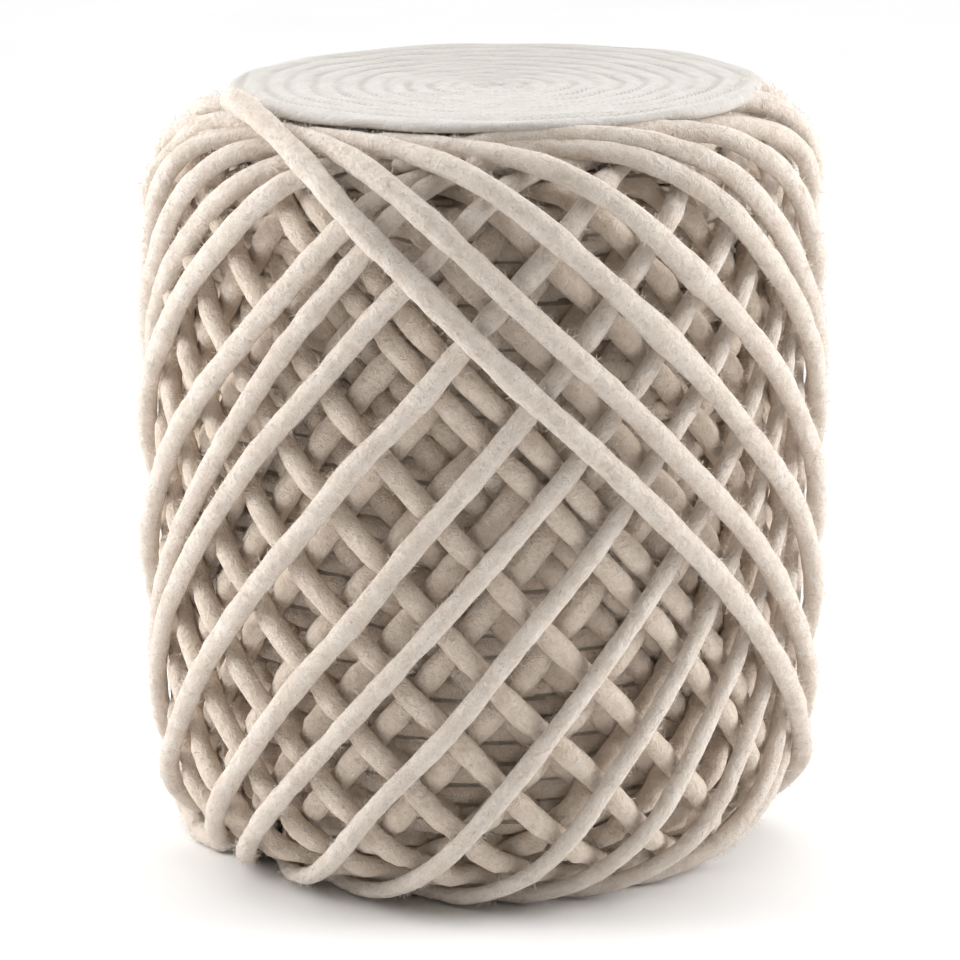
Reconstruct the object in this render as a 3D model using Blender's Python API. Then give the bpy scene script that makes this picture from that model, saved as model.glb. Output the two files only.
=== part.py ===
"""Cylinder pouf of thick felted wool strand, wound round in crossing tiers under a coiled disc.

Metres, +Z up. The origin is on the floor, at the middle of the pouf. The front faces -Y.
An angle round the pouf is in degrees: 0 is the front, and it grows towards +X.
"""

import math

import bmesh
import bpy
import numpy as np

# Driving dimensions
TOP_OF_WINDINGS = 0.4495  # height of the outermost strands under the disc
RADIUS_LOW = 0.2029  # outside of the outermost tier, where the lower rounding starts
RADIUS_MIDDLE = 0.2092
RADIUS_HIGH = 0.2039  # outside of the outermost tier, where the upper rounding starts
ROUND_LOW = 0.0861  # radius of the rounding towards the floor
ROUND_HIGH = 0.0575  # radius of the rounding towards the disc
ROUND_LOW_CENTRE = 0.0722  # height of the centre of the lower rounding
MIDDLE_HEIGHT = 0.230  # the strands' angles are stated at this height
AXIS = (-0.0058, -0.0011)  # the windings' own axis: the outermost tier covers one side only

STRAND_WIDTH = 0.0128
STRAND_DEPTH = 0.0108  # a little flat, as it presses on the tier below
RING_SIDES = 6  # sides of a strand's section
TIER_PITCH = 0.0116  # depth of one tier and its clearance
TIP_TAPER = 0.045  # length over which an end narrows
TIP_SCALE = 0.55
LIFT_HEIGHTS = (0.395, 0.440)  # where a strand that nothing crosses near the disc starts and ends its rise
TUCK_TANGENT = 0.955  # a strand ends where it runs this near to round the rim: the sine of its lean
LOWEST_LINE = 0.0064  # height below which the middle of a strand doesn't go
SIDE_STEP = 0.042  # length of one straight piece of strand on the side, and on the roundings
ROUND_STEP = 0.021
ROUND_STEPS = 40  # points on each rounding, and on the side, from which the strands are worked out
SIDE_STEPS = 120

FOOT_RADIUS = 0.120  # flat base, and the raised middle under the disc
FOOT_EDGE = 0.004
RAISED_MIDDLE = 0.4497  # height of the windings under the disc

DISC_RADIUS = 0.1560
DISC_CENTRE = (0.0076, 0.0025)
DISC_UNDERSIDE = 0.4500
DISC_VALLEY = 0.4565  # height of the valley between two coils, at the middle
RIM_BULGE = 0.0025
DISC_COILS = 11
COIL_RISE = 0.0018  # height of a coil over the valley beside it
DISC_DISH = 0.0022  # how much higher the rim is than the middle
DISC_TILT = 0.0090  # rise per metre towards +X
DISC_SIDES = 36

WOOL_ROUGHNESS = 0.95
WOOL = (0.74, 0.69, 0.62)
WOOL_DEEP = (0.60, 0.53, 0.45)
WOOL_DISC = (0.82, 0.80, 0.76)

# Outermost tier: each strand runs down towards +X, and this is its angle at the middle height
OUTER_ANGLES = (34.0, 47.5, 65.0, 82.0, 99.0, 113.0, 128.0, 144.0, 160.0, 176.0, 192.0)
OUTER_LEAN = 46.0  # from upright

# Second tier: each strand runs down towards -X. rise is 1 where it comes out to the first tier near the disc
SECOND_STRANDS = (
    # angle, lean, rise
    (-96.0, 43.0, 0),
    (-75.0, 42.5, 0),
    (-60.5, 42.0, 0),
    (-48.5, 41.5, 0),
    (-29.5, 41.0, 0),
    (-8.0, 40.0, 0),
    (7.5, 40.0, 0),
    (23.5, 39.0, 0),
    (40.5, 37.5, 0),
    (56.0, 36.0, 0),
    (70.5, 35.0, 0),
    (85.0, 35.0, 0),
    (101.0, 35.0, 0),
    (117.0, 35.5, 0),
    (133.0, 36.0, 0),
    (149.0, 37.0, 0),
    (165.0, 38.0, 1),
    (181.0, 39.0, 1),
    (198.0, 40.0, 1),
    (215.0, 41.0, 1),
    (231.0, 42.0, 1),
    (247.0, 43.0, 0),
)

# Inner windings: evenly spaced raised turns
INNER_TURNS = 20
INNER_FIRST_ANGLE = -2.0
INNER_LEAN = 43.0
INNER_DEPTH = 2 * TIER_PITCH  # of the turns' outer side
INNER_ROWS_SIDE = 9
INNER_ROWS_LOW = 5
INNER_ROWS_HIGH = 3


def clear_scene():
    for item in list(bpy.data.objects):
        bpy.data.objects.remove(item, do_unlink=True)


def make_wool(name, colour):
    material = bpy.data.materials.new(name)
    material.use_nodes = True
    shader = material.node_tree.nodes["Principled BSDF"]
    shader.inputs["Base Color"].default_value = (*colour, 1.0)
    shader.inputs["Roughness"].default_value = WOOL_ROUGHNESS
    shader.inputs["Metallic"].default_value = 0.0
    return material


def side_radius(height):
    """Outside of the outermost tier on the bulging side, a parabola through its three radii."""
    low = ROUND_LOW_CENTRE
    high = TOP_OF_WINDINGS - ROUND_HIGH
    t = (height - low) / (high - low)
    ends = RADIUS_LOW * (1 - t) * (1 - 2 * t) + RADIUS_HIGH * t * (2 * t - 1)
    return ends + 4 * RADIUS_MIDDLE * t * (1 - t)


def outline(depth, high_steps, side_steps, low_steps):
    """Radius and height from the top inwards round to the floor inwards, and the outward direction at each.

    depth is measured inwards from the outside of the outermost tier.
    """
    rows = []
    for angle in np.linspace(math.pi / 2, 0, high_steps + 1):
        out, up = math.cos(angle), math.sin(angle)
        radius = RADIUS_HIGH - ROUND_HIGH + (ROUND_HIGH - depth) * out
        rows.append((radius, TOP_OF_WINDINGS - ROUND_HIGH + (ROUND_HIGH - depth) * up, out, up))
    heights = np.linspace(TOP_OF_WINDINGS - ROUND_HIGH, ROUND_LOW_CENTRE, side_steps + 1)
    for height in heights[1:-1]:
        rows.append((side_radius(height) - depth, height, 1.0, 0.0))
    for angle in np.linspace(0, -math.pi / 2, low_steps + 1):
        out, up = math.cos(angle), math.sin(angle)
        radius = RADIUS_LOW - ROUND_LOW + (ROUND_LOW - depth) * out
        rows.append((radius, ROUND_LOW_CENTRE + (ROUND_LOW - depth) * up, out, up))
    return np.array(rows)


def turn_constant(depth, lean):
    """Radius at which a taut strand of this lean would turn back: constant along the whole strand."""
    return (side_radius(MIDDLE_HEIGHT) - depth) * math.sin(math.radians(lean))


def swept_angles(rows, constant):
    """Angle, in degrees from the middle height down, of a taut strand at each row of an outline."""
    radius, height = rows[:, 0], rows[:, 1]
    rate = constant / (radius * np.sqrt(radius**2 - constant**2))
    steps = np.hypot(np.diff(radius), np.diff(height))
    swept = np.concatenate([[0.0], np.cumsum((rate[1:] + rate[:-1]) / 2 * steps)])
    swept -= np.interp(MIDDLE_HEIGHT, height[::-1], swept[::-1])
    return np.degrees(swept)


def at(radius, angle, height):
    """The point in space at an angle round the windings' axis."""
    turn = math.radians(angle)
    return np.array([AXIS[0] + radius * math.sin(turn), AXIS[1] - radius * math.cos(turn), height])


def strand_line(depth, angle, lean, rise, hand):
    """Points and outward directions along a taut strand, from under the disc to under the lower edge.

    hand is 1 for a strand that runs down towards +X, and -1 for one that runs down towards -X.
    """
    rows = outline(depth, ROUND_STEPS, SIDE_STEPS, ROUND_STEPS)
    constant = turn_constant(depth, lean)
    rows = rows[(rows[:, 0] > constant / TUCK_TANGENT) & (rows[:, 1] > LOWEST_LINE)]
    angles = angle + hand * swept_angles(rows, constant)
    points = np.array([at(r, a, z) for a, (r, z, _, _) in zip(angles, rows)])
    outward = []
    for a, (_, _, out, up) in zip(np.radians(angles), rows):
        outward.append((out * math.sin(a), -out * math.cos(a), up))
    outward = np.array(outward)
    start, full = LIFT_HEIGHTS
    t = np.clip((rows[:, 1] - start) / (full - start), 0.0, 1.0)
    lift = rise * TIER_PITCH * t * t * (3 - 2 * t)
    return points + outward * lift[:, None], outward, rows[:, 3]


def spaced(points, outward, up):
    """The same line with long pieces on the side and short ones on the roundings, and its length along."""
    lengths = np.linalg.norm(np.diff(points, axis=0), axis=1)
    along = np.concatenate([[0.0], np.cumsum(lengths)])
    step = np.where(np.abs(up) > 0, ROUND_STEP, SIDE_STEP)
    count = np.concatenate([[0.0], np.cumsum(lengths * (1 / step[1:] + 1 / step[:-1]) / 2)])
    wanted = np.linspace(0, count[-1], int(round(count[-1])) + 1)
    pick = np.array([np.interp(wanted, count, column) for column in points.T]).T
    faced = np.array([np.interp(wanted, count, column) for column in outward.T]).T
    return pick, faced, np.interp(wanted, count, along)


def strand_rings(points, outward, along):
    """Rings square to the line, each with a flat side facing out and one facing in.

    Both ends narrow from the inner side.
    """
    rings = []
    tangents = np.gradient(points, axis=0)
    for point, tangent, out, place in zip(points, tangents, outward, along):
        tangent = tangent / np.linalg.norm(tangent)
        across = np.cross(tangent, out)
        across /= np.linalg.norm(across)
        out = np.cross(across, tangent)
        from_end = min(place, along[-1] - place)
        size = TIP_SCALE + (1 - TIP_SCALE) * min(from_end / TIP_TAPER, 1.0)
        middle = point + out * (1 - size) * STRAND_DEPTH / 2
        ring = []
        for corner in range(RING_SIDES):
            turn = 2 * math.pi * corner / RING_SIDES
            wide = STRAND_WIDTH / 2 * math.cos(turn)
            deep = STRAND_DEPTH / 2 * math.sin(turn) / math.cos(math.pi / RING_SIDES)
            ring.append(middle + size * (wide * across + deep * out))
        rings.append(ring)
    return rings


def finish(name, mesh, shape, material):
    """Makes the shape an object with its faces turned out."""
    bmesh.ops.recalc_face_normals(shape, faces=shape.faces)
    shape.to_mesh(mesh)
    shape.free()
    mesh.shade_smooth()
    mesh.materials.append(material)
    body = bpy.data.objects.new(name, mesh)
    bpy.context.scene.collection.objects.link(body)


def loft(name, rings, material):
    """A closed body through rings of the same number of points."""
    mesh = bpy.data.meshes.new(name)
    shape = bmesh.new()
    rows = [[shape.verts.new(point) for point in ring] for ring in rings]
    for row, following in zip(rows, rows[1:]):
        for k, vertex in enumerate(row):
            after = (k + 1) % len(row)
            shape.faces.new((vertex, row[after], following[after], following[k]))
    shape.faces.new(rows[0])
    shape.faces.new(rows[-1])
    finish(name, mesh, shape, material)


def build_strands(label, table, tier, hand, material):
    depth = STRAND_DEPTH / 2 + tier * TIER_PITCH
    for number, (angle, lean, rise) in enumerate(table, start=1):
        line = spaced(*strand_line(depth, angle, lean, rise, hand))
        loft(f"{label}_{number:02d}", strand_rings(*line), material)


def inner_columns():
    """Angle and height share of each column: a turn's two feet and its flat crest, and the valley's middle."""
    pitch = 360 / INNER_TURNS
    radius = side_radius(MIDDLE_HEIGHT) - INNER_DEPTH
    half = math.degrees(STRAND_WIDTH / 2 / math.cos(math.radians(INNER_LEAN)) / radius)
    shape = ((-half, 0.0), (-half / 2, 1.0), (half / 2, 1.0), (half, 0.0), (pitch / 2, 0.0))
    return [
        (INNER_FIRST_ANGLE + turn * pitch + offset, share)
        for turn in range(INNER_TURNS)
        for offset, share in shape
    ]


def build_inner_windings(material):
    """The wound form under the strands: a drum with raised slanting turns, a flat foot and a raised middle."""
    valley = INNER_DEPTH + STRAND_DEPTH
    rows = outline(valley, INNER_ROWS_HIGH, INNER_ROWS_SIDE, INNER_ROWS_LOW)
    rows = rows[rows[:, 0] > FOOT_RADIUS + 2 * FOOT_EDGE]
    columns = inner_columns()
    fine = outline(valley, ROUND_STEPS, SIDE_STEPS, ROUND_STEPS)
    fine = fine[fine[:, 0] > FOOT_RADIUS + FOOT_EDGE]
    swept = swept_angles(fine, turn_constant(valley, INNER_LEAN))
    angles = np.interp(-rows[:, 1], -fine[:, 1], swept)
    rings = []
    for (radius, height, out, up), sweep in zip(rows, angles):
        ring = []
        for column, share in columns:
            raised = share * STRAND_DEPTH
            ring.append(at(radius + raised * out, column + sweep, height + raised * up))
        rings.append(ring)
    first, last = rows[0], rows[-1]

    def level(radius, height, sweep):
        return [at(radius, column + sweep, height) for column, _ in columns]

    above = [
        level(FOOT_RADIUS - FOOT_EDGE, RAISED_MIDDLE, angles[0]),
        level(FOOT_RADIUS, RAISED_MIDDLE - FOOT_EDGE, angles[0]),
        level(FOOT_RADIUS + FOOT_EDGE, first[1], angles[0]),
    ]
    below = [
        level(FOOT_RADIUS + FOOT_EDGE, last[1] - FOOT_EDGE / 2, angles[-1]),
        level(FOOT_RADIUS, FOOT_EDGE, angles[-1]),
        level(FOOT_RADIUS - FOOT_EDGE, 0.0, angles[-1]),
    ]
    loft("inner_windings", above + rings + below, material)


def disc_height(radius, turn, raised):
    """Height of the disc's top: dished towards the middle, and tilted a little."""
    dish = DISC_DISH * (radius / DISC_RADIUS) ** 2
    return DISC_VALLEY + raised + dish + DISC_TILT * radius * math.sin(turn)


def build_top_coil(material):
    """The disc: one strand coiled flat, its coils raised, with a flat underside and a rounded rim.

    valleys and crests hold the points along the coil. The last turn narrows to nothing at the rim.
    """
    pitch = DISC_RADIUS / DISC_COILS
    mesh = bpy.data.meshes.new("top_coil")
    shape = bmesh.new()

    def point(radius, k, height):
        turn = 2 * math.pi * k / DISC_SIDES
        x = DISC_CENTRE[0] + radius * math.sin(turn)
        return shape.verts.new((x, DISC_CENTRE[1] - radius * math.cos(turn), height))

    def top_point(radius, k, raised):
        return point(radius, k, disc_height(radius, 2 * math.pi * k / DISC_SIDES, raised))

    def circle(radius, height):
        return [point(radius, k, height) for k in range(DISC_SIDES)]

    total = DISC_SIDES * DISC_COILS
    rim = [top_point(DISC_RADIUS, k, 0.0) for k in range(DISC_SIDES)]
    valleys = [top_point(pitch * k / DISC_SIDES, k, 0.0) for k in range(total)] + [rim[0]]
    crests = []
    for k in range(total):
        inner = pitch * k / DISC_SIDES
        outer = min(inner + pitch, DISC_RADIUS)
        crests.append(top_point((inner + outer) / 2, k, COIL_RISE * (outer - inner) / pitch))

    def face(*corners):
        shape.faces.new(corners)

    for k in range(1, DISC_SIDES - 1):
        face(valleys[0], valleys[k], valleys[k + 1])
    face(valleys[0], valleys[DISC_SIDES - 1], valleys[DISC_SIDES], crests[0])
    for k in range(total - 1):
        face(valleys[k], crests[k], crests[k + 1], valleys[k + 1])
    face(valleys[total - 1], crests[total - 1], rim[-1], rim[0])
    for k in range(total - DISC_SIDES):
        face(crests[k], valleys[k + DISC_SIDES], valleys[k + DISC_SIDES + 1], crests[k + 1])
    for k in range(DISC_SIDES - 1):
        start = total - DISC_SIDES + k
        face(crests[start], rim[k], rim[k + 1], crests[start + 1])

    middle = circle(DISC_RADIUS + RIM_BULGE, (DISC_UNDERSIDE + DISC_VALLEY) / 2)
    under = circle(DISC_RADIUS - RIM_BULGE, DISC_UNDERSIDE)
    for row, following in ((rim, middle), (middle, under)):
        for k in range(DISC_SIDES):
            after = (k + 1) % DISC_SIDES
            face(row[k], row[after], following[after], following[k])
    face(*under)
    finish("top_coil", mesh, shape, material)


def main():
    clear_scene()
    wool = make_wool("wool_strand", WOOL)
    deep_wool = make_wool("wool_inner", WOOL_DEEP)
    disc_wool = make_wool("wool_disc", WOOL_DISC)
    build_inner_windings(deep_wool)
    build_strands("second_strand", SECOND_STRANDS, 1, -1, wool)
    outer = [(angle, OUTER_LEAN, 0) for angle in OUTER_ANGLES]
    build_strands("outer_strand", outer, 0, 1, wool)
    build_top_coil(disc_wool)


main()
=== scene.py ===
"""The looks of a wound wool cylinder pouf: its strands, deep turns, coiled felt top and loose fibres."""

import math

import bpy
import numpy as np
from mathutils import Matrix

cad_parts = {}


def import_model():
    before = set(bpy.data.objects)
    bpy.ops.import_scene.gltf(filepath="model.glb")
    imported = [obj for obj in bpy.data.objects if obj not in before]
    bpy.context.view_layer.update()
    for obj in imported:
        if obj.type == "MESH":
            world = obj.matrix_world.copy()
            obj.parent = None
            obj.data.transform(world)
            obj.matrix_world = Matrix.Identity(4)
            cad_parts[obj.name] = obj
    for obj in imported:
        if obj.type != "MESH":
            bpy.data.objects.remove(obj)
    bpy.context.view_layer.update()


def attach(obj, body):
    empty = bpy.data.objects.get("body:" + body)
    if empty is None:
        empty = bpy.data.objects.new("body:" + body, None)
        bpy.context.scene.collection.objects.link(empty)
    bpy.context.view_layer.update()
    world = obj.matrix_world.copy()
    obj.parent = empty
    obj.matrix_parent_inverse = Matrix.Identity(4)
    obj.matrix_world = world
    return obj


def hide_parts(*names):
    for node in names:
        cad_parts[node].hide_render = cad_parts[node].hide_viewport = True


# The windings as in the solids. Metres, and degrees round the pouf from its front towards +X.
TOP_OF_WINDINGS = 0.4495
RADIUS_LOW = 0.2029
RADIUS_MIDDLE = 0.2092
RADIUS_HIGH = 0.2039
ROUND_LOW = 0.0861
ROUND_HIGH = 0.0575
ROUND_LOW_CENTRE = 0.0722
MIDDLE_HEIGHT = 0.230
AXIS = (-0.0058, -0.0011)
STRAND_WIDTH = 0.0128
STRAND_DEPTH = 0.0108
TIER_PITCH = 0.0116
LIFT_HEIGHTS = (0.395, 0.440)
UNDER_TANGENT = 1.03
FLOOR_LEVEL = 0.0003
LOWEST_LINE = 0.0064
FOOT_RADIUS = 0.116

# The level turns deep inside: depth under the outline, distance from turn to turn, and rise of each.
DEEP_DEPTH = 0.0445
DEEP_PITCH = 0.0126
DEEP_RISE = 0.0044
DEEP_COLUMNS = 145

# The coiled top.
DISC_RADIUS = 0.1560
DISC_CENTRE = (0.0076, 0.0025)
DISC_UNDERSIDE = 0.4500
DISC_VALLEY = 0.4565
DISC_DISH = 0.0022
DISC_TILT = 0.0090
DISC_COLUMNS = 433
DISC_ROWS = 122
DISC_COILS = 11
COIL_HALF_RISE = 0.00045
RIM_WIDTH = 0.0060
RIM_ROUND = 0.0062
RIM_STEPS = 10
STITCH_PITCH = 0.0052
STITCH_SLANT = 260.0
# How much painted shade darkens the pits between the top's coils, and how deep the pits' bump is.
PIT_PAINTED_SHADE = 0.65
PIT_DEPTH = 1.3

# Camera: its place, how far it looks down in radians, and its lens in millimetres.
CAMERA_PLACE = (-0.0018, -2.9219, 0.8678)
CAMERA_DOWN = 0.2178
CAMERA_LENS = 189.0
SENSOR_WIDTH = 36.0

# Light: the room's strength in front of and behind the pouf, and the soft boxes.
FRONT_LIGHT = 0.03
BACK_LIGHT = 1.45
LIGHT_AIM = (0.0, 0.0, 0.25)
FLOOR_REACH = 6
SOFT_BOXES = (
    # name, place, size, power in watts
    ("box_left", (-1.7, -0.13, 0.9), 1.0, 21),
    ("box_right", (1.7, -0.06, 0.9), 1.0, 20),
    ("box_above", (0.0, 0.1, 2.2), 1.4, 4),
)

# Colours of the wool: light, shade and fleck.
STRAND_COLOURS = ((0.828, 0.745, 0.668), (0.677, 0.583, 0.499), (0.38, 0.33, 0.29))
# The inner strands and the deep turns get a warmer, darker copy of the strand wool: painted warm shade for
# the bounce light deep between the tiers.
INNER_SHADED_COLOURS = ((0.825, 0.715, 0.61), (0.665, 0.555, 0.45), (0.34, 0.28, 0.23))
# On the top, the fleck colour also serves as the painted shade in the pits between the coils.
DISC_COLOURS = ((0.655, 0.625, 0.588), (0.58, 0.55, 0.513), (0.38, 0.34, 0.30))
LIGHT_FIBRE_COLOURS = ((0.86, 0.80, 0.73), (0.71, 0.64, 0.57))
DARK_FIBRE_COLOURS = ((0.42, 0.38, 0.34), (0.25, 0.21, 0.18))
FLOOR_COLOURS = ((0.93, 0.93, 0.93), (0.95, 0.95, 0.95))

# Fibres: how many to a metre of strand.
OUTER_LOOSE, SECOND_LOOSE, THIRD_LOOSE = 4600, 3000, 1200
OUTER_LYING, SECOND_LYING = 150, 130

# Distance between a strand's rings, tier by tier.
OUTER_STEP, THIRD_STEP, FOURTH_STEP, FIFTH_STEP = 0.0044, 0.0055, 0.0065, 0.0085

# How far a strand goes on past its highest point, to sink under its neighbours.
OUTER_OVER = 0.07
INNER_OVER = 0.05

# Strands that lean down to the right, outermost.
OUTER_STRANDS = (
    # angle at the middle height, lean, rise in tiers at the top
    (33.5, 45.8, 0),
    (46.5, 45.8, 0),
    (64.2, 46, 0),
    (81.2, 46.1, 0),
    (99.5, 45.8, 0),
    (108.5, 46.2, 0.5),
    (123.5, 46.3, 0.5),
    (142, 46, 0.2),
    (160, 46, 0),
    (176, 46, 0),
    (192, 46, 0),
)

# Strands that lean down to the left, under them.
SECOND_STRANDS = (
    # angle at the middle height, lean, rise in tiers at the top, thickness
    (-97.2, 45.5, 0.5, 1.04),
    (-72.5, 43.4, 0, 1.04),
    (-57, 38, 0, 0.96),
    (-49.5, 41.7, 0, 0.96),
    (-29.7, 41.2, 0, 1.02),
    (-8.3, 39.6, 0, 0.98),
    (7, 41, 0, 0.90),
    (23, 39, 0, 0.86),
    (41, 38, 0, 0.82),
    (56, 34.8, 0, 0.80),
    (70.7, 34.2, 0, 0.82),
    (87, 34.3, 0, 0.86),
    (103, 33, 0, 0.92),
    (117, 35.5, 0, 1.02),
    (133, 36, 0, 1.04),
    (149, 37, 0, 1.04),
    (165, 38, 1, 1.02),
    (181, 39, 1, 1.06),
    (198, 40, 0.8, 1.04),
    (215, 41, 0.6, 1.02),
    (235, 43, 0.9, 1.02),
    (246.5, 43, 0.6, 1.02),
)

# One more that lies between its neighbours at the top left, a little deeper.
TUCKED_STRAND = (-114, 47.5, 0.5)
TUCKED_DEPTH = 0.004

# The tiers under those: angles at the middle height, lean and depth. Strands at close angles touch.
THIRD_ANGLES = (
    -110, -92, -75, -57, -39.5, -22, -4, 17.5, 25, 42, 60, 77, 95, 113, 120,
    137, 155, 173, 190, 208, 215, 232,
)
THIRD_LEAN = 43
THIRD_DEPTH = 0.0275
FOURTH_ANGLES = (
    -107, -87.5, -70, -53, -41.5, -27, -12, 2, 15, 33, 50, 66, 84, 101, 119,
    136, 153, 171, 188, 206, 224, 240,
)
FOURTH_LEAN = 39
FOURTH_DEPTH = 0.0375
FIFTH_ANGLES = (
    -101, -83.5, -66, -48, -31, -13, 6, 14, 34, 51, 68.5, 86, 104, 128,
    146, 164, 181.5, 199, 211.5, 223.5, 241,
)
FIFTH_LEAN = 44
FIFTH_DEPTH = 0.0470

# Extra strands over the shoulder.
SHOULDER_STRANDS = (
    # name, thickness, the points that the strand passes
    ("shoulder_strand_left", 1.15, (
        (-0.1305, -0.0500, 0.4394),
        (-0.1497, -0.0350, 0.4407),
        (-0.1660, -0.0220, 0.4341),
        (-0.1810, -0.0080, 0.4184),
        (-0.1928, 0.0000, 0.4024),
        (-0.1947, 0.0080, 0.3892),
        (-0.1875, 0.0220, 0.3786),
        (-0.1740, 0.0330, 0.3720),
        (-0.1600, 0.0420, 0.3670),
        (-0.1450, 0.0480, 0.3640),
    )),
    ("shoulder_strand_back", 1.25, (
        (-0.1387, -0.0200, 0.4461),
        (-0.1520, -0.0100, 0.4464),
        (-0.1625, 0.0000, 0.4396),
        (-0.1708, 0.0100, 0.4293),
        (-0.1751, 0.0300, 0.4144),
        (-0.1640, 0.0420, 0.4060),
        (-0.1500, 0.0480, 0.4010),
        (-0.1380, 0.0520, 0.3980),
    )),
    ("shoulder_strand_right", 1.20, (
        (0.1250, -0.0560, 0.4520),
        (0.1440, -0.0420, 0.4535),
        (0.1600, -0.0300, 0.4510),
        (0.1745, -0.0170, 0.4430),
        (0.1860, -0.0030, 0.4300),
        (0.1935, 0.0080, 0.4100),
        (0.1915, 0.0250, 0.3920),
        (0.1760, 0.0360, 0.3820),
        (0.1580, 0.0440, 0.3780),
    )),
    ("shoulder_strand_far", 1.20, (
        (0.1480, -0.0020, 0.4560),
        (0.1610, 0.0060, 0.4530),
        (0.1740, 0.0160, 0.4420),
        (0.1820, 0.0320, 0.4280),
        (0.1780, 0.0480, 0.4150),
        (0.1600, 0.0560, 0.4080),
        (0.1460, 0.0620, 0.4040),
    )),
)

# Where the first outer strand leaves its line and lies up over the rim of the top, to its thick end.
FIRST_STRAND_TOP = (
    (-0.1454, -0.0600, 0.4582),
    (-0.1321, -0.0880, 0.4559),
    (-0.1198, -0.1150, 0.4491),
    (-0.1077, -0.1405, 0.4406),
)
FIRST_STRAND_LEAVES = 0.4310

# Thick places in the strands.
LUMPS = (
    # piece, height, half length along the height, share added to the thickness
    ("outer_strand_03_wool", 0.340, 0.012, 0.30),
    ("outer_strand_04_wool", 0.372, 0.014, 0.24),
    ("outer_strand_01_wool", 0.460, 0.005, 0.25),
)


def side_radius(height):
    """Outer radius of the drum at a height, on its nearly upright side."""
    t = (height - ROUND_LOW_CENTRE) / (TOP_OF_WINDINGS - ROUND_HIGH - ROUND_LOW_CENTRE)
    low = RADIUS_LOW * (1 - t) * (1 - 2 * t)
    high = RADIUS_HIGH * t * (2 * t - 1)
    return low + high + 4 * RADIUS_MIDDLE * t * (1 - t)


def outline(depth, steps=400):
    """Rows of the drum's outline at a depth, from the top inwards to the floor: radius, height, out, up."""
    turn = np.linspace(math.pi / 2, 0, steps)
    reach = ROUND_HIGH - depth
    high = np.stack((
        RADIUS_HIGH - ROUND_HIGH + reach * np.cos(turn),
        TOP_OF_WINDINGS - ROUND_HIGH + reach * np.sin(turn),
        np.cos(turn),
        np.sin(turn),
    ), axis=1)
    height = np.linspace(TOP_OF_WINDINGS - ROUND_HIGH, ROUND_LOW_CENTRE, steps)[1:-1]
    side = np.stack((
        side_radius(height) - depth,
        height,
        np.ones_like(height),
        np.zeros_like(height),
    ), axis=1)
    turn = np.linspace(0, -math.pi / 2, steps)
    reach = ROUND_LOW - depth
    low = np.stack((
        RADIUS_LOW - ROUND_LOW + reach * np.cos(turn),
        ROUND_LOW_CENTRE + reach * np.sin(turn),
        np.cos(turn),
        np.sin(turn),
    ), axis=1)
    return np.concatenate((high, side, low))


def smooth(value, start, end):
    """0 before start, 1 after end, with a smooth change between."""
    t = np.clip((value - start) / (end - start), 0, 1)
    return t * t * (3 - 2 * t)


def around(radius, angle, height):
    """A point from its radius about the drum's axis, its angle in radians and its height."""
    return np.stack((
        AXIS[0] + radius * np.sin(angle),
        AXIS[1] - radius * np.cos(angle),
        height,
    ), axis=-1)


def unit(vectors):
    return vectors / np.linalg.norm(vectors, axis=-1, keepdims=True)


def swept_from_top(radius, height, constant):
    """Angle in radians that a taut line turns through, row by row, from its nearest point to the axis."""
    lean = np.arccos(np.clip(constant / radius, -1, 1))
    gap = np.hypot(np.diff(radius), np.diff(height))
    run = np.abs(np.diff(radius))
    middle = (radius[1:] + radius[:-1]) / 2
    steep = constant / (middle * np.sqrt(np.maximum(middle ** 2 - constant ** 2, 1e-9))) * gap
    shallow = np.abs(np.diff(lean)) * gap / np.maximum(run, 1e-9)
    return np.concatenate(([0], np.cumsum(np.where(run > 0.2 * gap, shallow, steep))))


def strand_path(depth, angle, lean, hand, rise, step, over=0.0, sink=0.0):
    """The taut line of one strand: points, outward directions and distances along it.

    It starts a length past its highest point, where it sinks under its neighbours, and ends under the foot.
    """
    rows = outline(depth)
    constant = (side_radius(MIDDLE_HEIGHT) - depth) * math.sin(math.radians(lean))
    flat = np.linspace(constant, RADIUS_HIGH - ROUND_HIGH, 60)[:-1]
    if constant < RADIUS_HIGH - ROUND_HIGH:
        level = np.full_like(flat, TOP_OF_WINDINGS - depth)
        top = np.stack((flat, level, np.zeros_like(flat), np.ones_like(flat)), axis=1)
        rows = np.concatenate((top, rows))
    rows = rows[(rows[:, 0] > constant * 1.00002) & (rows[:, 1] > LOWEST_LINE)]
    inward = np.linspace(rows[-1, 0], constant * UNDER_TANGENT, 60)[1:]
    low = np.stack((
        inward,
        np.full_like(inward, LOWEST_LINE),
        np.zeros_like(inward),
        -np.ones_like(inward),
    ), axis=1)
    rows = np.concatenate((rows, low))
    radius, height, out, up = rows.T
    swept = swept_from_top(radius, height, constant)
    middle = np.interp(-MIDDLE_HEIGHT, -height[:-60], swept[:-60])
    turn = math.radians(angle) + hand * (swept - middle)
    lift = rise * TIER_PITCH * smooth(height, *LIFT_HEIGHTS) * (up >= 0)
    gap = np.hypot(np.diff(radius), np.diff(height))
    span = np.concatenate(([0], np.cumsum(np.hypot(gap, (radius[1:] + radius[:-1]) / 2 * np.diff(swept)))))
    count = int(np.searchsorted(span, over))
    if count:
        back = slice(count, 0, -1)
        past = span[back]
        turn = np.concatenate((2 * turn[0] - turn[back], turn))
        lift = np.concatenate((lift[back] - sink * smooth(past, 0.0, 0.05), lift))
        radius, height, out, up = (np.concatenate((v[back], v)) for v in (radius, height, out, up))
    points = around(radius + out * lift, turn, height + up * lift)
    outward = np.stack((out * np.sin(turn), -out * np.cos(turn), up), axis=-1)
    along = np.concatenate(([0], np.cumsum(np.linalg.norm(np.diff(points, axis=0), axis=1))))
    places = np.linspace(0, along[-1], int(along[-1] / step) + 1)
    points = np.stack([np.interp(places, along, points[:, k]) for k in range(3)], axis=-1)
    outward = np.stack([np.interp(places, along, outward[:, k]) for k in range(3)], axis=-1)
    return points, unit(outward), places


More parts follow.
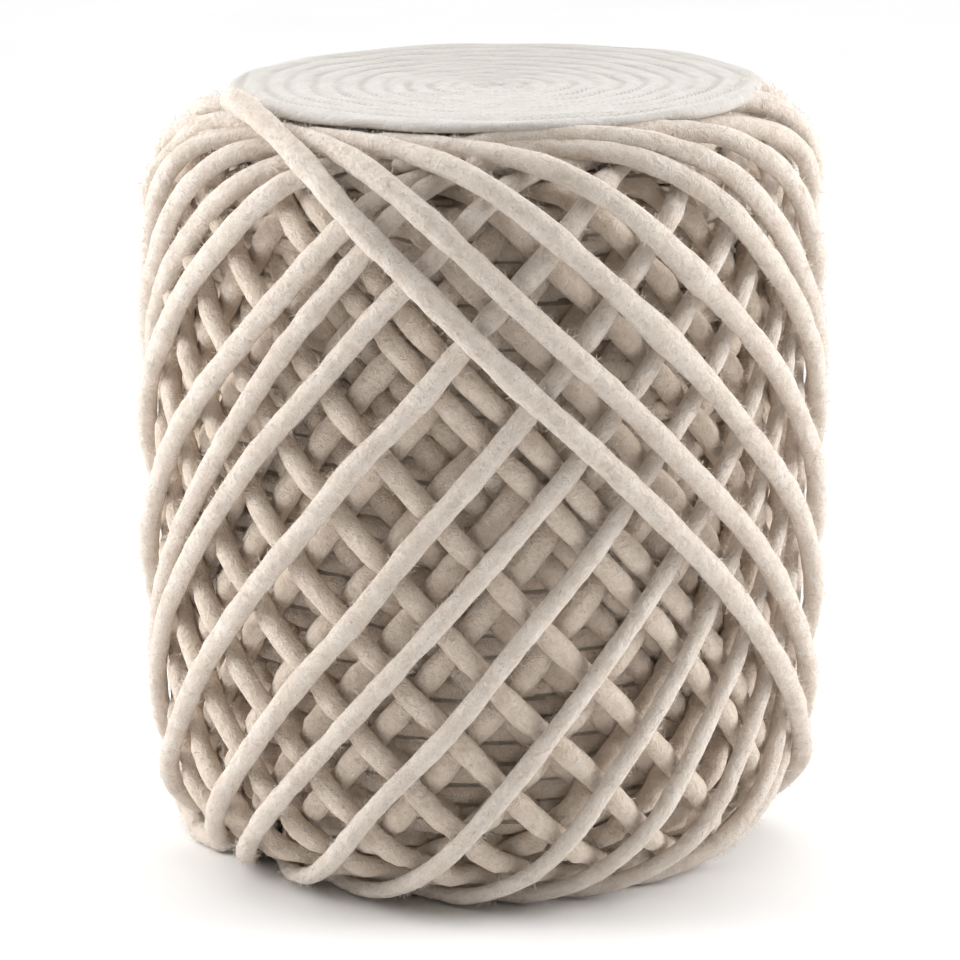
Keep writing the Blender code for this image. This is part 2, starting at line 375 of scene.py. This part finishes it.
def guided_path(points, step):
    """A smooth line through a few points on the shoulder: points, outward directions and distances."""
    points = np.array(points)
    ends = np.stack((2 * points[0] - points[1], 2 * points[-1] - points[-2]))
    held = np.concatenate((ends[:1], points, ends[1:]))
    line = []
    for k in range(1, len(held) - 2):
        t = np.linspace(0, 1, 30, endpoint=False)[:, None]
        a, b, c, d = held[k - 1:k + 3]
        line.append(0.5 * (2 * b + (c - a) * t + (2 * a - 5 * b + 4 * c - d) * t ** 2
                           + (3 * b - a - 3 * c + d) * t ** 3))
    line.append(points[-1:])
    line = np.concatenate(line)
    along = np.concatenate(([0], np.cumsum(np.linalg.norm(np.diff(line, axis=0), axis=1))))
    places = np.linspace(0, along[-1], int(along[-1] / step) + 1)
    line = np.stack([np.interp(places, along, line[:, k]) for k in range(3)], axis=-1)
    flat = line[:, :2] - np.array(AXIS)
    radius = np.linalg.norm(flat, axis=1, keepdims=True)
    out = np.maximum(radius - (RADIUS_HIGH - ROUND_HIGH), 0)
    up = line[:, 2:] - (TOP_OF_WINDINGS - ROUND_HIGH)
    return line, unit(np.concatenate((flat / radius * out, up), axis=1)), places


def first_strand_path(step):
    """The first outer strand, which ends on the rim of the top."""
    angle, lean, rise = OUTER_STRANDS[0]
    points, outward, _ = strand_path(tier_depth(0), angle, lean, 1, rise, step)
    keep = points[:, 2] < FIRST_STRAND_LEAVES
    line, lifted, _ = guided_path(FIRST_STRAND_TOP + (tuple(points[keep][0]), tuple(points[keep][4])), step)
    count = len(line) - 4
    points = np.concatenate((line[:count], points[keep][1:]))
    outward = np.concatenate((lifted[:count], outward[keep][1:]))
    along = np.concatenate(([0], np.cumsum(np.linalg.norm(np.diff(points, axis=0), axis=1))))
    return points, outward, along


def pressed(points, above):
    """How near a line's points are to the strands over it, from 0 in the open to 1 at a crossing."""
    nearest = np.full(len(points), 1.0)
    for other in above:
        gap = np.linalg.norm(points[:, None] - other.points[None, ::2], axis=2).min(axis=1)
        nearest = np.minimum(nearest, gap)
    return 1 - smooth(nearest, 0.0115, 0.0185)


def wave_sum(rng, along, around_ring, longest, shortest, waves):
    """A smooth random field on a tube, about -1 to 1, with wave lengths between the two given."""
    field = np.zeros(np.broadcast(along, around_ring).shape)
    for _ in range(waves):
        length = shortest * (longest / shortest) ** rng.random()
        count = rng.integers(0, 4)
        phase = rng.random(2) * 2 * math.pi
        field += np.sin(2 * math.pi * along / length + phase[0]) * np.cos(count * around_ring + phase[1])
    return field / math.sqrt(waves)


def new_mesh(name, points, faces, places, material):
    """A smooth mesh piece on the pouf, with each point's place on its strand kept for the material."""
    mesh = bpy.data.meshes.new(name)
    mesh.from_pydata(points.tolist(), [], faces)
    mesh.polygons.foreach_set("use_smooth", [True] * len(mesh.polygons))
    kept = mesh.attributes.new("strand_place", "FLOAT_VECTOR", "POINT")
    kept.data.foreach_set("vector", np.asarray(places, dtype=np.float32).ravel())
    mesh.materials.append(material)
    piece = bpy.data.objects.new(name, mesh)
    bpy.context.scene.collection.objects.link(piece)
    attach(piece, "root")
    return piece


def tube_faces(rings, sides):
    """Faces of a tube of rings, with its ends closed."""
    faces = []
    for i in range(rings - 1):
        for k in range(sides):
            after = (k + 1) % sides
            low, high = i * sides, (i + 1) * sides
            faces.append((low + k, low + after, high + after, high + k))
    faces.append(tuple(reversed(range(sides))))
    faces.append(tuple((rings - 1) * sides + k for k in range(sides)))
    return faces


def sheet_faces(rows, columns):
    """Faces of a grid of points whose first and last columns meet."""
    faces = []
    for i in range(rows - 1):
        for k in range(columns - 1):
            low, high = i * columns + k, (i + 1) * columns + k
            faces.append((low, low + 1, high + 1, high))
    return faces


class Strand:
    """One pass of the wound strand: its line, its ring shape and its surface."""

    wander = 0.0010
    slack = 0.0004

    def __init__(self, name, seed, path, sides, thickness=1.0, above=(), swell=0.0):
        rng = np.random.default_rng(seed)
        self.name = name
        points, outward, along = path
        self.along = along
        self.offset = seed * 0.731
        forward = unit(np.gradient(points, axis=0))
        across = unit(np.cross(forward, outward))
        held = smooth(along, 0, 0.04) * smooth(along[-1] - along, 0, 0.04)
        points = points + across * (self.wander * held * wave_sum(rng, along, 0.0, 0.35, 0.09, 4))[:, None]
        points = points + outward * (self.slack * held * wave_sum(rng, along, 0.0, 0.20, 0.05, 5))[:, None]
        width = np.full(len(along), float(thickness))
        if above:
            free = 1 - pressed(points, above)
            points = points + outward * (swell * (free - 0.4))[:, None]
            width = width * (0.94 + 0.12 * free)
        self.forward = unit(np.gradient(points, axis=0))
        self.across = unit(np.cross(self.forward, outward))
        self.outward = np.cross(self.across, self.forward)
        self.points = points
        width = width * (1 + 0.060 * wave_sum(rng, along, 0.0, 0.12, 0.025, 6))
        for piece, height, half, share in LUMPS:
            if piece == name:
                width = width * (1 + share * np.exp(-((points[:, 2] - height) / half) ** 2))
        end = np.minimum(along, along[-1] - along) / 0.008
        self.width = width * np.sqrt(np.clip(1 - (1 - np.clip(end, 0, 1)) ** 2, 0.02, 1))
        self.rng = rng
        self.ring = np.arange(sides) * 2 * math.pi / sides
        ring = self.ring[None, :]
        bumps = 1 + 0.040 * wave_sum(rng, along[:, None], ring, 0.030, 0.010, 10)
        self.scale = self.width[:, None] * bumps
        self.surface = self.place(np.arange(len(along))[:, None], ring, self.scale)
        self.surface[..., 2] = np.maximum(self.surface[..., 2], FLOOR_LEVEL)

    def place(self, index, ring, scale):
        """Points on the strand's surface, from ring numbers, ring angles and a scale."""
        out = self.outward[index] * (np.cos(ring) * scale * STRAND_DEPTH / 2)[..., None]
        side = self.across[index] * (np.sin(ring) * scale * STRAND_WIDTH / 2)[..., None]
        return self.points[index] + out + side

    def build(self, material):
        """The mesh piece of this strand."""
        rings, sides = self.scale.shape
        place = np.empty((rings, sides, 3))
        place[..., 0] = self.along[:, None] + self.offset
        place[..., 1] = np.cos(self.ring)[None, :] * STRAND_DEPTH / 2
        place[..., 2] = np.sin(self.ring)[None, :] * STRAND_WIDTH / 2
        faces = tube_faces(rings, sides)
        return new_mesh(self.name, self.surface.reshape(-1, 3), faces, place.reshape(-1, 3), material)


def blades(starts, middles, tips, sides):
    """Points and faces of short bent fibres, each of one four-sided and one three-sided face."""
    narrow = sides * 0.8
    points = np.stack((starts - sides, starts + sides, middles + narrow, middles - narrow, tips), axis=1)
    faces = []
    for first in range(0, len(starts) * 5, 5):
        faces.append((first, first + 1, first + 2, first + 3))
        faces.append((first + 3, first + 2, first + 4))
    return points.reshape(-1, 3), faces


def fibre_roots(strands, per_metre, spread, rng):
    """Random places on the outer side of some strands: roots, outward directions and strand directions."""
    roots, normals, forwards = [], [], []
    for strand in strands:
        count = int(strand.along[-1] * per_metre)
        index = rng.integers(2, len(strand.along) - 2, count)
        ring = rng.uniform(-spread, spread, count)
        root = strand.place(index, ring, strand.width[index] * 0.98)
        roots.append(root + strand.forward[index] * rng.uniform(-0.002, 0.002, (count, 1)))
        normals.append(unit(root - strand.points[index]))
        forwards.append(strand.forward[index])
    return np.concatenate(roots), np.concatenate(normals), np.concatenate(forwards)


def build_loose_fibres(name, strands, per_metre, material, seed, longest=0.009, highest=0.0032):
    """One piece of the fibres that stand off a group of strands."""
    rng = np.random.default_rng(seed)
    roots, normals, forwards = fibre_roots(strands, per_metre, 2.0, rng)
    count = len(roots)
    turn = rng.normal(0, 0.9, (count, 1)) + np.where(rng.random((count, 1)) < 0.5, 0, math.pi)
    direction = forwards * np.cos(turn) + np.cross(normals, forwards) * np.sin(turn)
    length = 0.002 + (longest - 0.002) * rng.random((count, 1)) ** 1.6
    height = 0.0008 + (highest - 0.0008) * rng.random((count, 1)) ** 1.4
    drift = 0.22 * rng.normal(size=(count, 3))
    middles = roots + (direction * 0.42 + drift * 0.4) * length
    middles = middles + normals * height * rng.uniform(0.5, 1.1, (count, 1))
    tips = roots + (direction * 0.85 + drift) * length + normals * height
    sides = unit(np.cross(direction, normals) + 0.5 * rng.normal(size=(count, 3)))
    sides = sides * rng.uniform(0.00008, 0.00015, (count, 1))
    points, faces = blades(roots, middles, tips, sides)
    points[:, 2] = np.maximum(points[:, 2], FLOOR_LEVEL)
    return new_mesh(name, points, faces, np.repeat(roots, 5, axis=0), material)


def build_lying_fibres(name, strands, per_metre, material, seed):
    """One piece of the darker fibres that lie in low arcs on a group of strands."""
    rng = np.random.default_rng(seed)
    roots, normals, forwards = fibre_roots(strands, per_metre, 1.3, rng)
    count = len(roots)
    turn = rng.normal(0, 0.8, (count, 1))
    across = np.cross(normals, forwards)
    direction = forwards * np.cos(turn) + across * np.sin(turn)
    curl = forwards * -np.sin(turn) + across * np.cos(turn)
    length = rng.uniform(0.0015, 0.0045, (count, 1))
    bend = rng.normal(0, 0.22, (count, 1)) * length
    middles = roots + direction * length * 0.5 + curl * bend + normals * 0.0003
    tips = roots + direction * length + normals * 0.00005
    sides = curl * rng.uniform(0.00006, 0.00014, (count, 1))
    points, faces = blades(roots + normals * 0.00015, middles, tips, sides)
    points[:, 2] = np.maximum(points[:, 2], FLOOR_LEVEL)
    return new_mesh(name, points, faces, np.repeat(roots, 5, axis=0), material)


def build_deep_turns(material):
    """The level turns deep inside, touching one another, as one closed surface."""
    rows = outline(DEEP_DEPTH, 200)
    rows[:, :2] += rows[:, 2:] * (0.010 * smooth(rows[:, 1], 0.365, 0.400))[:, None]
    crown = np.array((0.02, 0.5, 1.0))[:, None]
    top = np.concatenate((
        rows[0, 0] * crown,
        rows[0, 1] + 0.020 * (1 - crown ** 2),
        np.zeros_like(crown),
        np.ones_like(crown),
    ), axis=1)
    foot = np.array((
        (FOOT_RADIUS, 0.012, 1, 0),
        (FOOT_RADIUS - 0.0005, 0.004, 0.7, -0.7),
        (FOOT_RADIUS - 0.005, FLOOR_LEVEL, 0, -1),
        (0.001, FLOOR_LEVEL, 0, -1),
    ))
    rows = np.concatenate((top[:-1], rows, foot))
    along = np.concatenate(([0], np.cumsum(np.hypot(np.diff(rows[:, 0]), np.diff(rows[:, 1])))))
    places = np.linspace(0, along[-1], int(along[-1] / (DEEP_PITCH / 6)))
    radius, height, out, up = [np.interp(places, along, rows[:, k]) for k in range(4)]
    turn = np.linspace(-math.pi, math.pi, DEEP_COLUMNS)
    lag = 0.25 * np.sin(turn * 2 + 1) + 0.15 * np.sin(turn * 5 + 2)
    phase = places[:, None] / DEEP_PITCH - (turn / (2 * math.pi) + lag)[None, :]
    across = 2 * (phase % 1) - 1
    lift = DEEP_RISE * (np.sqrt(np.clip(1 - across ** 2, 0, 1)) - 1)
    ripple = np.sin(turn[None, :] * 7 + places[:, None] * 40) * np.sin(places[:, None] * 90 + 2)
    lift = (lift + 0.0008 * ripple) * smooth(height, 0.0, 0.03)[:, None]
    points = around(
        radius[:, None] + out[:, None] * lift,
        np.broadcast_to(turn[None, :], lift.shape),
        np.maximum(height[:, None] + up[:, None] * lift, FLOOR_LEVEL))
    place = np.stack((
        turn[None, :] * 0.16 + np.floor(phase) * 1.7,
        across * 0.006,
        np.zeros_like(lift),
    ), axis=-1)
    faces = sheet_faces(len(places), DEEP_COLUMNS)
    return new_mesh("deep_turns", points.reshape(-1, 3), faces, place.reshape(-1, 3), material)


def disc_height(radius, turn, raised):
    """Height of the coiled top at a radius and an angle, with the raised part of its coils."""
    dish = DISC_DISH * (radius / DISC_RADIUS) ** 2
    return DISC_VALLEY + raised + dish + DISC_TILT * radius * np.sin(turn)


def hump(turn, middle, half):
    """A soft rise between 0 and 1 around one angle, in degrees."""
    apart = (np.degrees(turn) - middle + 180) % 360 - 180
    return np.exp(-(apart / half) ** 2)


def build_top_coil(material):
    """The felted coil on top, with a soft wavy rim that rolls down to the windings."""
    pitch = DISC_RADIUS / DISC_COILS
    turn = np.linspace(-math.pi, math.pi, DISC_COLUMNS)
    wave = 0.0010 * np.sin(3 * turn + 0.6) + 0.0007 * np.sin(7 * turn + 2.1) + 0.0005 * np.sin(16 * turn)
    wave = wave - 0.0035 * hump(turn, 35, 28)
    flat = DISC_RADIUS - RIM_WIDTH
    inner = np.linspace(0.0008, flat, DISC_ROWS)
    radius = inner[:, None] * (1 + wave[None, :] / DISC_RADIUS)
    drift = 0.16 * np.sin(2 * turn + 1.0) + 0.10 * np.sin(5 * turn)
    phase = inner[:, None] / pitch - (turn / (2 * math.pi) + drift * smooth(inner[:, None], 0.02, 0.08))
    across = 2 * (phase % 1) - 1
    coil = COIL_HALF_RISE * (1 + np.cos(math.pi * across))
    bumps = 0.0005 * np.sin(9 * turn[None, :] + 60 * inner[:, None])
    bumps = bumps * np.sin(70 * inner[:, None] + 3 * turn[None, :])
    height = disc_height(radius, turn[None, :], coil * smooth(inner[:, None], 0, 0.01) + bumps)
    height = height + 0.0004 * smooth(inner[:, None], flat - 0.016, flat - 0.004)
    height = height + 0.0028 * hump(turn, 180, 75) * smooth(inner[:, None], 0.05, flat)
    height = height - 0.0020 * hump(turn, 0, 80) * smooth(inner[:, None], flat - 0.014, flat)
    rows = [np.stack((radius * np.sin(turn), -radius * np.cos(turn), height), axis=-1)]
    places = [np.stack((turn[None, :] * inner[:, None], phase * pitch, np.zeros_like(phase)), axis=-1)]
    edge = height[-1]
    under = DISC_UNDERSIDE + 0.0011 - 0.0008 * hump(turn, -45, 32) + 0.0006 * hump(turn, 30, 28)
    for step in range(1, RIM_STEPS + 1):
        bend = math.pi * step / RIM_STEPS
        reach = radius[-1] + RIM_ROUND * math.sin(bend) + 0.0006 * math.sin(bend) * np.sin(23 * turn + 2)
        level = under + (edge - under) * (1 + math.cos(bend)) / 2
        level = level + 0.0007 * math.sin(bend) * np.sin(11 * turn + 1)
        rows.append(np.stack((reach * np.sin(turn), -reach * np.cos(turn), level), axis=-1)[None])
        place = np.stack((turn * flat, phase[-1] * pitch, np.full(DISC_COLUMNS, 0.0013 * step)), axis=-1)
        places.append(place[None])
    centre = np.array((0.0, 0.0, DISC_UNDERSIDE))
    rows.append(np.broadcast_to(centre, (1, DISC_COLUMNS, 3)))
    places.append(places[-1])
    rows = np.concatenate(rows)
    rows[..., 0] += DISC_CENTRE[0]
    rows[..., 1] += DISC_CENTRE[1]
    places = np.concatenate(places)
    faces = sheet_faces(len(rows), DISC_COLUMNS)
    return new_mesh("felted_top", rows.reshape(-1, 3), faces, places.reshape(-1, 3), material)


def node(tree, kind, **values):
    """A new shader node with its settings."""
    made = tree.nodes.new(kind)
    for key, value in values.items():
        setattr(made, key, value)
    return made


def scaled_noise(tree, place, stretch, scale, detail, distortion):
    """Noise on the strand's own coordinates, stretched along it."""
    mapping = node(tree, "ShaderNodeMapping")
    mapping.inputs["Scale"].default_value = stretch
    tree.links.new(place, mapping.inputs["Vector"])
    noise = node(tree, "ShaderNodeTexNoise")
    noise.inputs["Scale"].default_value = scale
    noise.inputs["Detail"].default_value = detail
    noise.inputs["Distortion"].default_value = distortion
    tree.links.new(mapping.outputs["Vector"], noise.inputs["Vector"])
    return noise.outputs["Fac"]


def ramp(tree, value, low, high, low_colour, high_colour):
    """A two-colour ramp of a value."""
    made = node(tree, "ShaderNodeValToRGB")
    made.color_ramp.elements[0].position = low
    made.color_ramp.elements[1].position = high
    made.color_ramp.elements[0].color = (*low_colour, 1)
    made.color_ramp.elements[1].color = (*high_colour, 1)
    tree.links.new(value, made.inputs["Fac"])
    return made.outputs["Color"]


def tinted(tree, share, first, colour):
    """A colour mixed by a share towards a plain one."""
    made = node(tree, "ShaderNodeMix", data_type="RGBA")
    tree.links.new(share, made.inputs["Factor"])
    tree.links.new(first, made.inputs[6])
    made.inputs[7].default_value = (*colour, 1)
    return made.outputs[2]


def summed(tree, first, second, share):
    """first plus a share of second."""
    made = node(tree, "ShaderNodeMath", operation="MULTIPLY_ADD")
    made.inputs[1].default_value = share
    tree.links.new(second, made.inputs[0])
    tree.links.new(first, made.inputs[2])
    return made.outputs[0]


def between(tree, value, low, high, floor=0.0, ceiling=1.0):
    """A value taken from one range to another, held at its ends."""
    made = node(tree, "ShaderNodeMapRange")
    made.inputs["From Min"].default_value = low
    made.inputs["From Max"].default_value = high
    made.inputs["To Min"].default_value = floor
    made.inputs["To Max"].default_value = ceiling
    tree.links.new(value, made.inputs["Value"])
    return made.outputs["Result"]


def maths(tree, operation, first, second=None):
    """One sum of one or two values, where the second may be a plain number."""
    made = node(tree, "ShaderNodeMath", operation=operation)
    tree.links.new(first, made.inputs[0])
    if isinstance(second, float):
        made.inputs[1].default_value = second
    elif second is not None:
        tree.links.new(second, made.inputs[1])
    return made.outputs[0]


def stitch_pits(tree, place):
    """Rows of small pits between the coils of the felted top, stronger in some places; the material darkens
    them with painted shade and dents them with its bump.
    """
    axes = node(tree, "ShaderNodeSeparateXYZ")
    tree.links.new(place, axes.inputs["Vector"])
    half = DISC_RADIUS / DISC_COILS / 2
    across = maths(tree, "SUBTRACT", maths(tree, "FLOORED_MODULO", axes.outputs["Y"], 2 * half), half)
    edge = between(tree, maths(tree, "ABSOLUTE", across), half * 0.50, half * 0.90)
    slant = maths(tree, "MULTIPLY", across, STITCH_SLANT)
    along = maths(tree, "MULTIPLY", axes.outputs["X"], 2 * math.pi / STITCH_PITCH)
    phase = maths(tree, "ADD", along, slant)
    dashes = between(tree, maths(tree, "SINE", phase), -0.3, 0.7)
    where = between(tree, scaled_noise(tree, place, (0.4, 1, 1), 60, 1, 0.0), 0.40, 0.60, 0.30, 1.0)
    on_flat = between(tree, axes.outputs["Z"], 0.0, 0.003, 1.0, 0.0)
    pits = maths(tree, "MULTIPLY", edge, dashes)
    return maths(tree, "MULTIPLY", pits, maths(tree, "MULTIPLY", where, on_flat))


def wool(name, colours, bump, shaded_stitches=False):
    """Felted wool: fine fibres, soft cloudy mottling, a few darker flecks and a low bump; on the coiled
    top, pits between the coils darkened with painted shade.
    """
    light, shade, fleck = colours
    material = bpy.data.materials.new(name)
    material.use_nodes = True
    tree = material.node_tree
    shader = tree.nodes["Principled BSDF"]
    place = node(tree, "ShaderNodeAttribute", attribute_name="strand_place").outputs["Vector"]
    hairs = scaled_noise(tree, place, (1.0, 0.55, 0.55), 620, 2, 1.6)
    clouds = scaled_noise(tree, place, (0.7, 1, 1), 190, 2, 0.8)
    patches = scaled_noise(tree, place, (1, 1, 1), 55, 1, 0.3)
    share = summed(tree, maths(tree, "MULTIPLY", clouds, 0.45), hairs, 0.30)
    share = summed(tree, share, patches, 0.25)
    colour = ramp(tree, share, 0.41, 0.58, shade, light)
    spots = between(tree, maths(tree, "MULTIPLY", hairs, clouds), 0.30, 0.42, 0.0, 0.45)
    colour = tinted(tree, spots, colour, fleck)
    if shaded_stitches:
        pits = stitch_pits(tree, place)
        # Painted shade: the pits between the coils are darkened towards the fleck colour.
        colour = tinted(tree, maths(tree, "MULTIPLY", pits, PIT_PAINTED_SHADE), colour, fleck)
    tree.links.new(colour, shader.inputs["Base Color"])
    tree.links.new(between(tree, hairs, 0.3, 0.7, 0.86, 1.0), shader.inputs["Roughness"])
    height = summed(tree, clouds, hairs, 0.6)
    if shaded_stitches:
        height = summed(tree, height, pits, -PIT_DEPTH)
    lifted = node(tree, "ShaderNodeBump")
    lifted.inputs["Strength"].default_value = bump
    lifted.inputs["Distance"].default_value = 0.002
    tree.links.new(height, lifted.inputs["Height"])
    tree.links.new(lifted.outputs["Normal"], shader.inputs["Normal"])
    shader.inputs["Specular IOR Level"].default_value = 0.1
    shader.inputs["Sheen Weight"].default_value = 0.15
    shader.inputs["Sheen Roughness"].default_value = 0.6
    return material


def fibre_wool(name, colours):
    """A loose fibre: plain matte wool with a little variation from root to root."""
    light, shade = colours
    material = bpy.data.materials.new(name)
    material.use_nodes = True
    tree = material.node_tree
    shader = tree.nodes["Principled BSDF"]
    place = node(tree, "ShaderNodeAttribute", attribute_name="strand_place").outputs["Vector"]
    noise = scaled_noise(tree, place, (1, 1, 1), 300, 0, 0.0)
    tree.links.new(ramp(tree, noise, 0.35, 0.65, shade, light), shader.inputs["Base Color"])
    tree.links.new(between(tree, noise, 0.3, 0.7, 0.85, 1.0), shader.inputs["Roughness"])
    shader.inputs["Specular IOR Level"].default_value = 0.1
    return material


def place_camera():
    """The camera at the photograph's distance, height and angle."""
    data = bpy.data.cameras.new("camera")
    data.lens = CAMERA_LENS
    data.sensor_width = SENSOR_WIDTH
    camera = bpy.data.objects.new("camera", data)
    camera.location = CAMERA_PLACE
    camera.rotation_euler = (math.pi / 2 - CAMERA_DOWN, 0, 0)
    bpy.context.scene.collection.objects.link(camera)
    bpy.context.scene.camera = camera


def soft_box(name, location, size, power):
    """A square studio light that faces the middle of the pouf."""
    data = bpy.data.lights.new(name, "AREA")
    data.size = size
    data.energy = power
    light = bpy.data.objects.new(name, data)
    light.location = location
    aim = np.array(LIGHT_AIM) - np.array(location)
    light.rotation_euler = (
        math.atan2(math.hypot(aim[0], aim[1]), -aim[2]),
        0,
        math.atan2(aim[0], -aim[1]) + math.pi,
    )
    bpy.context.scene.collection.objects.link(light)


def light_studio():
    """A pale room, soft boxes on both sides and above, and a pale floor."""
    world = bpy.data.worlds.new("studio")
    world.use_nodes = True
    tree = world.node_tree
    axes = node(tree, "ShaderNodeSeparateXYZ")
    tree.links.new(node(tree, "ShaderNodeTexCoord").outputs["Generated"], axes.inputs["Vector"])
    strength = between(tree, axes.outputs["Y"], -0.8, 0.15, FRONT_LIGHT, BACK_LIGHT)
    tree.links.new(strength, tree.nodes["Background"].inputs["Strength"])
    tree.nodes["Background"].inputs["Color"].default_value = (1, 1, 1, 1)
    bpy.context.scene.world = world
    for name, place, size, power in SOFT_BOXES:
        soft_box(name, place, size, power)
    mesh = bpy.data.meshes.new("floor")
    corners = [(x * FLOOR_REACH, y * FLOOR_REACH, 0) for x, y in ((-1, -1), (1, -1), (1, 1), (-1, 1))]
    mesh.from_pydata(corners, [], [(0, 1, 2, 3)])
    floor = bpy.data.objects.new("floor", mesh)
    material = bpy.data.materials.new("floor_paint")
    material.use_nodes = True
    tree = material.node_tree
    shader = tree.nodes["Principled BSDF"]
    grain = scaled_noise(tree, node(tree, "ShaderNodeTexCoord").outputs["Object"], (1, 1, 1), 3, 2, 0)
    tree.links.new(ramp(tree, grain, 0.3, 0.7, *FLOOR_COLOURS), shader.inputs["Base Color"])
    shader.inputs["Roughness"].default_value = 0.9
    mesh.materials.append(material)
    bpy.context.scene.collection.objects.link(floor)
    view = bpy.context.scene.view_settings
    view.view_transform = "Standard"
    view.look = "None"


def tier_depth(tier):
    """Depth of the middle of one of the two outer tiers under the outline."""
    return STRAND_DEPTH / 2 + tier * TIER_PITCH


def build_strands():
    """Every strand, tier by tier, as lists of strand shapes."""
    outer = [Strand("outer_strand_01_wool", 100, first_strand_path(OUTER_STEP), 14, 1.12)]
    for k, (angle, lean, rise) in enumerate(OUTER_STRANDS[1:], start=2):
        path = strand_path(tier_depth(0), angle, lean, 1, rise, OUTER_STEP, OUTER_OVER, TIER_PITCH)
        outer.append(Strand(f"outer_strand_{k:02d}_wool", 99 + k, path, 14, 1.10))
    second = []
    for k, (angle, lean, rise, thickness) in enumerate(SECOND_STRANDS):
        path = strand_path(tier_depth(1), angle, lean, -1, rise, OUTER_STEP, INNER_OVER, TIER_PITCH / 2)
        name = f"second_strand_{k + 1:02d}_wool"
        second.append(Strand(name, 200 + k, path, 14, thickness, outer, 0.0008))
    shoulder = []
    for k, (name, thickness, points) in enumerate(SHOULDER_STRANDS):
        shoulder.append(Strand(name, 340 + k, guided_path(points, OUTER_STEP), 14, thickness))
    angle, lean, rise = TUCKED_STRAND
    path = strand_path(tier_depth(1) + TUCKED_DEPTH, angle, lean, -1, rise, OUTER_STEP)
    shoulder.append(Strand("tucked_strand", 360, path, 14, 1.10))
    third = []
    for k, angle in enumerate(THIRD_ANGLES):
        path = strand_path(THIRD_DEPTH, angle, THIRD_LEAN, 1, 0, THIRD_STEP, INNER_OVER)
        third.append(Strand(f"third_strand_{k + 1:02d}_wool", 300 + k, path, 12, 1.06, second, 0.0026))
    fourth = []
    for k, angle in enumerate(FOURTH_ANGLES):
        path = strand_path(FOURTH_DEPTH, angle, FOURTH_LEAN, -1, 0, FOURTH_STEP, INNER_OVER)
        fourth.append(Strand(f"fourth_strand_{k + 1:02d}_wool", 400 + k, path, 10, 1.16, third, 0.0034))
    fifth = []
    for k, angle in enumerate(FIFTH_ANGLES):
        path = strand_path(FIFTH_DEPTH, angle, FIFTH_LEAN, 1, 0, FIFTH_STEP, INNER_OVER)
        fifth.append(Strand(f"fifth_strand_{k + 1:02d}_wool", 500 + k, path, 8, 1.25, fourth, 0.0030))
    return outer, second, shoulder, third, fourth + fifth


def main():
    """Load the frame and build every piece."""
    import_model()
    place_camera()
    light_studio()
    strand_wool = wool("wool_strand", STRAND_COLOURS, 0.75)
    # The inner wool is the strand wool with painted warm shade, warmer and darker than the outer strands.
    inner_shaded_wool = wool("wool_inner", INNER_SHADED_COLOURS, 0.9)
    disc_wool = wool("wool_disc", DISC_COLOURS, 0.6, True)
    light_fibres = fibre_wool("light_fibres", LIGHT_FIBRE_COLOURS)
    dark_fibres = fibre_wool("dark_fibres", DARK_FIBRE_COLOURS)
    outer, second, shoulder, third, deeper = build_strands()
    for label, group in (("outer", outer), ("second", second)):
        for k, strand in enumerate(group):
            piece = strand.build(strand_wool)
            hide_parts(f"{label}_strand_{k + 1:02d}")
    for strand in shoulder:
        strand.build(strand_wool)
    for strand in third + deeper:
        strand.build(inner_shaded_wool)
    deep = build_deep_turns(inner_shaded_wool)
    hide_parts("inner_windings")
    top = build_top_coil(disc_wool)
    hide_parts("top_coil")
    for name, group, density, seed in (
        ("outer_loose_fibres", outer + shoulder, OUTER_LOOSE, 11),
        ("second_loose_fibres", second, SECOND_LOOSE, 12),
        ("third_loose_fibres", third, THIRD_LOOSE, 13),
    ):
        build_loose_fibres(name, group, density, light_fibres, seed)
    for name, group, density, seed in (
        ("outer_lying_fibres", outer, OUTER_LYING, 21),
        ("second_lying_fibres", second, SECOND_LYING, 22),
    ):
        build_lying_fibres(name, group, density, dark_fibres, seed)


main()
